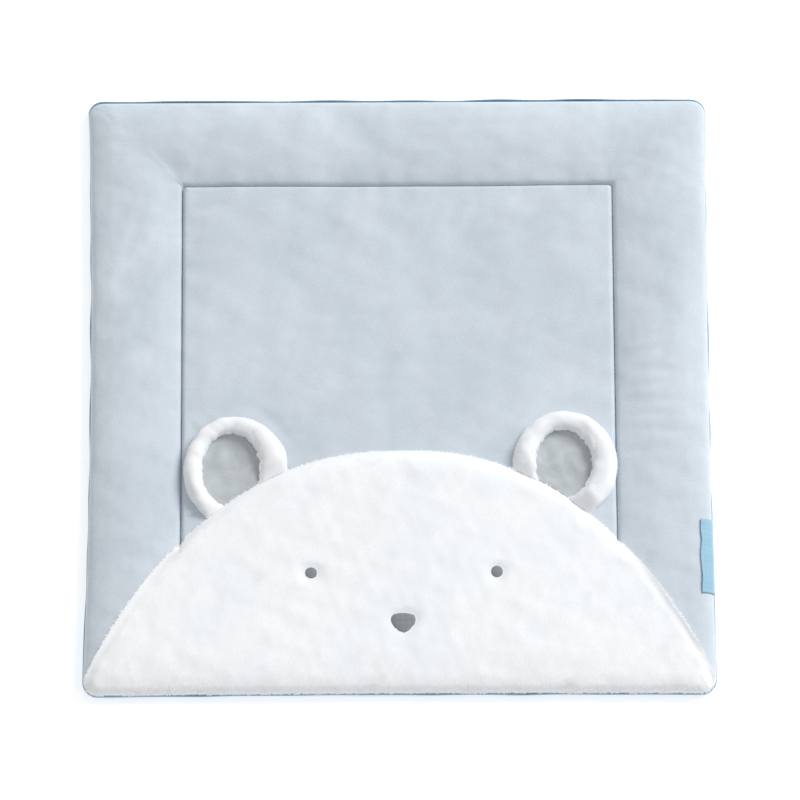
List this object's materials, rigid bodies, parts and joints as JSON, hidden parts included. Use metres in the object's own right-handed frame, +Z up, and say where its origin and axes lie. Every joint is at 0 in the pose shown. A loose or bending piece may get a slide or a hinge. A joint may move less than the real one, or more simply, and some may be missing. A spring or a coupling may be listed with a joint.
{
  "type": "padded play mat",
  "caption": "Square padded floor mat with a plump border around a sewn square panel, and a plush bear's head with round ears across the front edge.",
  "frame": {"origin": "middle of the mat's underside, on the floor", "axes": "+Z up, +X to the mat's right, +Y from the bear's chin to the far edge"},
  "size_m": [0.9998, 0.9998, 0.0512],
  "materials": {
    "velour": "short-pile velour, brushed",
    "back_cloth": "plain woven cotton, matt",
    "plush": "cut-pile plush, soft",
    "ear_cloth": "short-pile velour, grey",
    "grey_thread": "satin-stitched thread",
    "ribbon": "woven satin ribbon"
  },
  "bodies": {
    "root": {"pad": "velour", "backing": "back_cloth", "head": "plush", "ear_roll_left": "plush", "ear_roll_right": "plush", "ear_lining_left": "ear_cloth", "ear_lining_right": "ear_cloth", "eye_left": "grey_thread", "eye_right": "grey_thread", "nose": "grey_thread", "edge_tab": "ribbon"}
  },
  "joints": []
}
